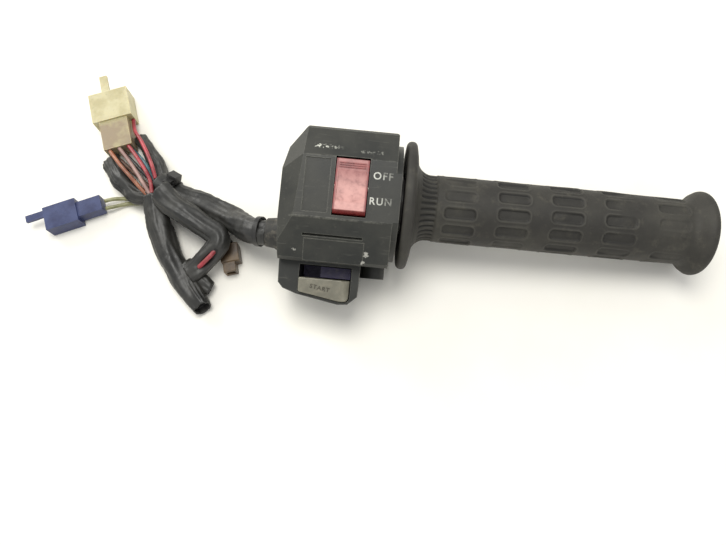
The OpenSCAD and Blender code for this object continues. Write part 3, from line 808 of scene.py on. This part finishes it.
ROCKER_FINISH = rocker_red()
rocker = softened("kill_rocker", "kill_rocker_cap", 0.4, ROCKER_FINISH, body="rocker")
print("rocker faces", len(rocker.data.polygons))

# %% [markdown]
# ## Ridges that repeat
# The rocker has a few thumb ridges and the cable tie's cut tail has teeth: the same small
# bar, set again and again in a line. One Geometry Nodes tree makes both, with its count,
# pitch and bar size as named inputs, and each result is turned into a plain mesh.

# %% A tree that sets bars in a line


def node_tree(name, inputs):
    """An empty Geometry Nodes tree with a geometry output and the named inputs."""
    tree = bpy.data.node_groups.new(name, "GeometryNodeTree")
    tree.interface.new_socket("Geometry", in_out="OUTPUT", socket_type="NodeSocketGeometry")
    tree.interface.new_socket("Geometry", in_out="INPUT", socket_type="NodeSocketGeometry")
    for label, kind in inputs:
        tree.interface.new_socket(label, in_out="INPUT", socket_type="NodeSocket" + kind)
    return tree, tree.nodes.new("NodeGroupInput"), tree.nodes.new("NodeGroupOutput")


def bars_tree():
    tree, given, made = node_tree("bars_in_a_line", [
        ("Count", "Int"), ("Pitch", "Float"), ("Bar Size", "Vector"), ("Finish", "Material")])
    line = tree.nodes.new("GeometryNodeMeshLine")
    step = tree.nodes.new("ShaderNodeCombineXYZ")
    bar = tree.nodes.new("GeometryNodeMeshCube")
    laid = tree.nodes.new("GeometryNodeInstanceOnPoints")
    real = tree.nodes.new("GeometryNodeRealizeInstances")
    finish = tree.nodes.new("GeometryNodeSetMaterial")
    for source, target in (
            (given.outputs["Count"], line.inputs["Count"]),
            (given.outputs["Pitch"], step.inputs["Y"]),
            (step.outputs[0], line.inputs["Offset"]),
            (given.outputs["Bar Size"], bar.inputs["Size"]),
            (line.outputs[0], laid.inputs["Points"]),
            (bar.outputs[0], laid.inputs["Instance"]),
            (laid.outputs[0], real.inputs[0]),
            (real.outputs[0], finish.inputs["Geometry"]),
            (given.outputs["Finish"], finish.inputs["Material"]),
            (finish.outputs[0], made.inputs[0])):
        tree.links.new(source, target)
    return tree


def grown(name, tree, values, base=None):
    """Runs a tree on a base mesh and returns the result as a plain mesh object."""
    seed = in_scene(name + "_seed", base or bpy.data.meshes.new(name + "_seed"))
    modifier = seed.modifiers.new("pattern", "NODES")
    modifier.node_group = tree
    for socket in tree.interface.items_tree:
        if socket.in_out == "INPUT" and socket.name in values:
            modifier[socket.identifier] = values[socket.name]
    bpy.context.view_layer.update()
    shown = seed.evaluated_get(bpy.context.evaluated_depsgraph_get())
    mesh = bpy.data.meshes.new_from_object(shown)
    seed.modifiers.remove(modifier)
    bpy.data.objects.remove(seed)
    mesh.name = name
    return in_scene(name, mesh)


def into_place(piece, place, width):
    """Moves a mesh drawn in millimetres into a frame and rounds its edges."""
    piece.data.transform(place)
    piece.data.transform(Matrix.Scale(MM, 4))
    bevel = piece.modifiers.new("moulded edges", "BEVEL")
    bevel.width = width * MM
    bevel.segments = 2
    return piece


BARS = bars_tree()
ridges = grown("kill_rocker_ridges", BARS, {
    "Count": 3, "Pitch": -0.95, "Bar Size": (11.4, 0.5, 0.7), "Finish": ROCKER_FINISH})
into_place(ridges, rocker_place @ Matrix.Translation((0, 9.5, 4.85)), 0.12)
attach(ridges, "rocker")

TIE_PLACE = (bench_place @ Matrix.Translation((-119.2, 8.4, 7.4))
             @ Matrix.Rotation(math.radians(154), 4, "Z") @ Matrix.Rotation(math.radians(40), 4, "X"))
tail = grown("cable_tie_teeth", BARS, {
    "Count": 7, "Pitch": 0.62, "Bar Size": (3.4, 0.7, 1.1), "Finish": TIE_FINISH})
into_place(tail, TIE_PLACE @ Matrix.Translation((0, 2.7, 8.6)), 0.1)
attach(tail, "root")
print("ridges", len(ridges.data.polygons), "teeth", len(tail.data.polygons))

# %% [markdown]
# ## The rubber grip
# The grip is one moulding: a wide flange, a collar of fine ribs, a barrel with rows of
# long rounded recesses, each in a raised lip, and an end flange. A section is turned
# about the bar, finely enough to carry the pattern, and a Geometry Nodes tree presses the
# ribs and recesses into it, with the ribs' count and each depth as named inputs.

# %% Turned section of the grip


def arc(centre, radius, start, end, steps):
    """Points on an arc, as (distance along the bar, radius from its axis)."""
    made = []
    for k in range(steps + 1):
        angle = math.radians(start + (end - start) * k / steps)
        made.append((centre[1] + radius * math.sin(angle), centre[0] + radius * math.cos(angle)))
    return made


def filled(start, end, step):
    """Points every step millimetres on a straight line, without its last point."""
    count = max(1, round(math.dist(start, end) / step))
    return [tuple(a + (b - a) * k / count for a, b in zip(start, end)) for k in range(count)]


GRIP_LENGTH = 141
BARREL_R = 15.4
BARREL_STEP = 0.5
AROUND = 252
RIBS_FROM, RIBS_TO = 8.2, 14.2
PATTERN_FROM, PATTERN_TO = 15.8, 131
# the recesses: five columns of twelve, each a slot with rounded ends
FIRST_COLUMN = 25.6
COLUMN_PITCH = 23.9
LAST_COLUMN = 4.0
ROW_TURN = 30.0
ROW_WIDTH = 8.06
SLOT_HALF_LENGTH = 5.2
SLOT_HALF_WIDTH = 0.65
SLOT_CORNER = 1.7
grip_section = (
    [(0.0, 12.6), (0.0, 20.0)] + arc((27.5, 2), 2, -90, 0, 7) + arc((27.5, 2.6), 2, 0, 80, 8)
    + [(5.2, 25.0), (5.6, 22.4)] + arc((22.4, 12.9), 7.3, 262, 188, 22)
    + filled((12.2, 15.14), (14.9, 15.1), BARREL_STEP) + filled((14.9, 15.1), (15.5, BARREL_R), 0.3)
    + filled((15.5, BARREL_R), (80, BARREL_R), BARREL_STEP)
    + filled((80, BARREL_R), (129, 15), BARREL_STEP)
    + arc((20, 129), 5, 180, 128, 12) + [(133.8, 17.6), (134.3, 18.3)]
    + arc((16.9, 137), 2.6, -20, 80, 12) + [(140.1, 14.0), (140.7, 8.0), (140.95, 3.0)])


def turned(name, section, around):
    """A closed solid of revolution about the bar, with its own along and turn attributes."""
    shape = bmesh.new()
    along = shape.verts.layers.float.new("along")
    turn = shape.verts.layers.float.new("turn")
    rings = []
    for x, r in section:
        ring = []
        for k in range(around):
            angle = 2 * math.pi * k / around
            vert = shape.verts.new((x, r * math.sin(angle), r * math.cos(angle)))
            vert[along] = x
            vert[turn] = math.degrees(angle)
            ring.append(vert)
        rings.append(ring)
    for near, far in zip(rings, rings[1:] + rings[:1]):
        if far is rings[0]:
            break
        for k in range(around):
            j = (k + 1) % around
            shape.faces.new((near[j], near[k], far[k], far[j])).smooth = True
    tip = shape.verts.new((GRIP_LENGTH, 0, 0))
    tip[along] = GRIP_LENGTH
    hub = shape.verts.new((135, 0, 0))
    inner = [shape.verts.new((135, v.co.y, v.co.z)) for v in rings[0]]
    for k in range(around):
        j = (k + 1) % around
        shape.faces.new((rings[-1][j], rings[-1][k], tip)).smooth = True
        shape.faces.new((rings[0][k], rings[0][j], inner[j], inner[k]))
        shape.faces.new((inner[k], inner[j], hub))
    bmesh.ops.recalc_face_normals(shape, faces=shape.faces)
    mesh = bpy.data.meshes.new(name)
    shape.to_mesh(mesh)
    shape.free()
    return mesh


grip_blank = turned("grip_blank", grip_section, AROUND)
print("grip blank", len(grip_blank.polygons), "faces")

# %% Ribs and recesses pressed into the grip


def grip_tree():
    tree, given, made = node_tree("grip_pattern", [
        ("Rib Count", "Float"), ("Rib Depth", "Float"), ("Recess Depth", "Float"),
        ("Lip Height", "Float"), ("Finish", "Material")])
    sizes = {out.name: Value(tree, out) for out in given.outputs if out.name}

    def read(name):
        node = tree.nodes.new("GeometryNodeInputNamedAttribute")
        node.data_type = "FLOAT"
        node.inputs["Name"].default_value = name
        return Value(tree, node.outputs[0])

    along, turn = read("along"), read("turn")
    # fine ribs beside the flange
    wave = (turn * sizes["Rib Count"] * (math.pi / 180)).step("COSINE")
    groove = wave.rise(0.1, -0.6) * along.within(RIBS_FROM, RIBS_TO, 0.7)
    # each column of recesses is turned a little further than the last
    nearest = ((along - FIRST_COLUMN) / COLUMN_PITCH).step("ROUND")
    column = nearest.step("MAXIMUM", 0.0).step("MINIMUM", LAST_COLUMN)
    from_x = (along - column * COLUMN_PITCH - FIRST_COLUMN).step("ABSOLUTE")
    shifted = (turn - column * (column * -0.55 + 6.0) - 2.2) / ROW_TURN
    from_row = (shifted - shifted.step("ROUND")).step("ABSOLUTE") * ROW_WIDTH
    over_x = (from_x - SLOT_HALF_LENGTH).step("MAXIMUM", 0.0)
    over_y = (from_row - SLOT_HALF_WIDTH).step("MAXIMUM", 0.0)
    edge = (over_x * over_x + over_y * over_y).step("SQRT") - SLOT_CORNER
    hollow = edge.rise(0.2, -0.45)
    lip = edge.within(0.55, 0.85, 0.45)
    cloud = tree.nodes.new("ShaderNodeTexNoise")
    cloud.inputs["Scale"].default_value = 38
    cloud.inputs["Detail"].default_value = 2
    place = tree.nodes.new("GeometryNodeInputPosition")
    scaled = tree.nodes.new("ShaderNodeVectorMath")
    scaled.operation = "SCALE"
    scaled.inputs["Scale"].default_value = MM
    tree.links.new(place.outputs[0], scaled.inputs[0])
    tree.links.new(scaled.outputs[0], cloud.inputs["Vector"])
    worn = Value(tree, cloud.outputs[0]).rise(0.38, 0.58) * 0.75 + 0.25
    barrel = along.within(PATTERN_FROM, PATTERN_TO, 0.4)
    # wall marks the recess walls and rib grooves, where the finish paints shade
    wall = hollow * (hollow * -1.0 + 1.0) * 4.0 * worn * barrel + groove * 0.8
    rise_by = ((lip * sizes["Lip Height"] - hollow * sizes["Recess Depth"]) * worn * barrel
               - groove * sizes["Rib Depth"])
    # every point moves straight out from the bar's axis
    y, z = axes(tree, place.outputs[0])[1:]
    radius = (y * y + z * z).step("SQRT").step("MAXIMUM", 0.01)
    push = tree.nodes.new("ShaderNodeCombineXYZ")
    plug(tree, y / radius * rise_by, push.inputs["Y"])
    plug(tree, z / radius * rise_by, push.inputs["Z"])
    moved = tree.nodes.new("GeometryNodeSetPosition")
    kept = tree.nodes.new("GeometryNodeStoreNamedAttribute")
    kept.data_type = "FLOAT"
    kept.inputs["Name"].default_value = "relief"
    shaded = tree.nodes.new("GeometryNodeStoreNamedAttribute")
    shaded.data_type = "FLOAT"
    shaded.inputs["Name"].default_value = "wall"
    real = tree.nodes.new("GeometryNodeRealizeInstances")
    finish = tree.nodes.new("GeometryNodeSetMaterial")
    tree.links.new(given.outputs["Geometry"], kept.inputs["Geometry"])
    plug(tree, rise_by, kept.inputs["Value"])
    plug(tree, wall, shaded.inputs["Value"])
    tree.links.new(kept.outputs[0], shaded.inputs["Geometry"])
    tree.links.new(shaded.outputs[0], moved.inputs["Geometry"])
    tree.links.new(push.outputs[0], moved.inputs["Offset"])
    tree.links.new(moved.outputs[0], real.inputs[0])
    tree.links.new(real.outputs[0], finish.inputs["Geometry"])
    tree.links.new(given.outputs["Finish"], finish.inputs["Material"])
    tree.links.new(finish.outputs[0], made.inputs[0])
    return tree


def grip_finish():
    finish = Finish("grip_rubber")
    broad = finish.cloud(24, 4, 0.6)
    dusty = finish.cloud(5, 5, 0.68)
    fine = finish.cloud(0.45, 2, 0.6)
    relief = finish.attribute("relief")
    wall = finish.attribute("wall")
    colour = finish.mix(broad.rise(0.34, 0.66), srgb(44, 42, 38), srgb(60, 58, 52))
    colour = finish.mix(dusty.rise(0.5, 0.78) * 0.4, colour, srgb(92, 88, 76))
    # painted highlight: the raised lips are paler
    colour = finish.mix(relief.rise(0.04, 0.2) * 0.3, colour, srgb(84, 82, 74))
    # painted shade: the recess floors are darker
    colour = finish.mix(relief.rise(-0.25, -0.7) * 0.3, colour, srgb(32, 31, 29))
    # painted shade: the recess walls and rib grooves go nearly black
    colour = finish.mix(wall.rise(0.1, 0.9) * 0.72, colour, srgb(20, 20, 19))
    finish.paint(colour)
    finish.gloss(broad * 0.2 + fine * 0.2 + 0.46)
    finish.relief(fine * 0.6 + dusty * 0.4, 0.12)
    finish.set(Specular_IOR_Level=0.4)
    return finish.material


GRIP_FINISH = grip_finish()
grip = grown("throttle_grip_rubber", grip_tree(), {
    "Rib Count": 36.0, "Rib Depth": 0.75, "Recess Depth": 0.85, "Lip Height": 0.2,
    "Finish": GRIP_FINISH}, grip_blank)
grip.data.transform(bar_place)
grip.data.transform(Matrix.Scale(MM, 4))
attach(grip, "throttle")
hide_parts("grip_rubber")
print("grip", len(grip.data.polygons), "faces")

# %% [markdown]
# ## The start button, gland and screws
# The button is a warm grey moulding with a rubbed top. The gland is soft black rubber
# whose neck keeps the harness from kinking. The two screws that clamp the
# halves round the bar are zinc-plated steel.

# %% Button, gland, screws
BUTTON_FINISH = moulded("start_button_grey", (112, 109, 96), (136, 133, 118), (0.35, 0.55), 0.6, 0.05,
                        edge=0.6, dust=0.3)
RUBBER_FINISH = moulded("gland_rubber", (34, 34, 32), (52, 51, 47), (0.5, 0.75), 0.7, 0.08, dust=0.2)
STEEL_FINISH = moulded("plated_steel", (150, 148, 138), (186, 184, 172), (0.25, 0.5), 0.5, 0.05,
                       edge=0.3, dust=0.15, Metallic=1.0)
BRASS_FINISH = moulded("contact_brass", (168, 128, 62), (206, 168, 92), (0.25, 0.45), 0.5, 0.03,
                       Metallic=1.0)
BASE_FINISH = moulded("switch_base_plastic", (44, 38, 72), (62, 55, 92), (0.35, 0.6), 0.6, 0.05,
                      edge=0.3, dust=0.15)
NYLON_FINISH = moulded("tube_nylon", (36, 36, 34), (54, 53, 50), (0.35, 0.55), 0.7, 0.05, edge=0.4,
                       dust=0.1)
softened("start_button", "start_button_cap", 0.6, BUTTON_FINISH, body="button",
         segments=3)
softened("harness_grommet", "harness_gland", 0.3, RUBBER_FINISH)
softened("clamp_screws", "clamp_screw_pair", 0.25, STEEL_FINISH)
softened("throttle_tube", "throttle_tube_moulding", 0.2, NYLON_FINISH,
         body="throttle")
button_top = (face_place @ Matrix.Translation((-33.2, -41.4, 14.4))
              @ Matrix.Rotation(math.radians(16.7), 4, "X")
              @ Matrix.Rotation(math.radians(-9.4), 4, "Z"))
START_PAINT = moulded("start_mark_paint", (70, 66, 56), (96, 92, 80), (0.4, 0.6), 0.6, 0.03)
lettered("start_legend", "START", 2.7, button_top, START_PAINT, "button", raised=0.08)
print("button and hardware made")

# %% [markdown]
# ## Inner parts
# Springs, contacts and the pivot pin are small but can be glimpsed in the gaps. Their CAD
# shapes are right, so each keeps its node and takes a finish of its own.

# %% Finishes for the CAD parts that stay
INNER_FINISH = {
    "rocker_pin": STEEL_FINISH, "detent_ball": STEEL_FINISH, "detent_spring": STEEL_FINISH,
    "rocker_contact": BRASS_FINISH, "kill_contacts": BRASS_FINISH,
    "start_bridge": BRASS_FINISH, "start_contacts": BRASS_FINISH, "cream_terminals": BRASS_FINISH,
    "blue_terminals": BRASS_FINISH, "brown_terminals": BRASS_FINISH,
    "kill_switch_base": BASE_FINISH, "start_switch_base": BASE_FINISH,
}
for node, finish_of in INNER_FINISH.items():
    kept = frame["nodes"][node]
    for holder in kept.material_slots:
        holder.material = finish_of
print("inner parts finished", len(INNER_FINISH))

# %% [markdown]
# ## The start button's spring
# The return spring stands between the housing and the button, so it shortens as the button
# goes in. It is a copy of the CAD coil in plated steel.

# %% Return spring, copied from the CAD coil
press = next(joint for joint in frame["joints"] if joint["name"] == "start_press")
press_way = Vector(press["axis"]).normalized()
coil = frame["nodes"]["start_spring"].data.copy()
coil.name = "start_return_spring"
heights = [vert.co.dot(press_way) for vert in coil.vertices]
free_length = max(heights) - min(heights)
coil.materials.clear()
coil.materials.append(STEEL_FINISH)
for face in coil.polygons:
    face.material_index = 0
    face.use_smooth = True
spring = in_scene("start_return_spring", coil)
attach(spring, "root")
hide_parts("start_spring")
1 - max(press["range_m"]) / free_length
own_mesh(spring)
print("spring length", round(free_length * 1000, 2), "mm")

# %% [markdown]
# ## The bench and the light
# A pale matt bench and a large soft light almost overhead give the part a soft shadow just
# in front of it. A second soft light from the left picks out the housing's bevels, and the
# bright surroundings fill the dark sides.

# %% Bench and lights


def bench_top():
    mesh = bpy.data.meshes.new("bench_top")
    half = 1.6
    mesh.from_pydata([(-half, -half, 0), (half, -half, 0), (half, half, 0), (-half, half, 0)], [],
                     [(0, 1, 2, 3)])
    finish = Finish("bench_paint")
    finish.paint(finish.mix(finish.cloud(60, 3).rise(0.3, 0.7), srgb(247, 244, 234), srgb(250, 247, 239)))
    finish.gloss(finish.cloud(20) * 0.1 + 0.6)
    finish.relief(finish.cloud(1.5), 0.02)
    mesh.materials.append(finish.material)
    return in_scene("bench_top", mesh)


bench = bench_top()


def soft_light(name, place, aim, size, power, tint):
    lamp = bpy.data.lights.new(name, "AREA")
    lamp.shape = "DISK"
    lamp.size = size
    lamp.energy = power
    lamp.color = tint
    light = in_scene(name, lamp)
    light.location = place
    light.rotation_euler = (Vector(aim) - Vector(place)).to_track_quat("-Z", "Y").to_euler()


soft_light("overhead_panel", (-0.1, 0.16, 0.9), (-0.03, 0, 0.02), 0.5, 4.8, (1.0, 0.99, 0.95))
soft_light("side_panel", (-0.75, 0.55, 0.45), (-0.05, 0, 0.03), 0.5, 3.6, (1.0, 0.99, 0.94))
room = bpy.data.worlds.new("pale_room")
room.use_nodes = True
room.node_tree.nodes["Background"].inputs["Color"].default_value = (0.98, 0.99, 1.0, 1)
room.node_tree.nodes["Background"].inputs["Strength"].default_value = 0.7
bpy.context.scene.world = room
bpy.context.scene.view_settings.view_transform = "Standard"
print("lights", len(bpy.data.lights))
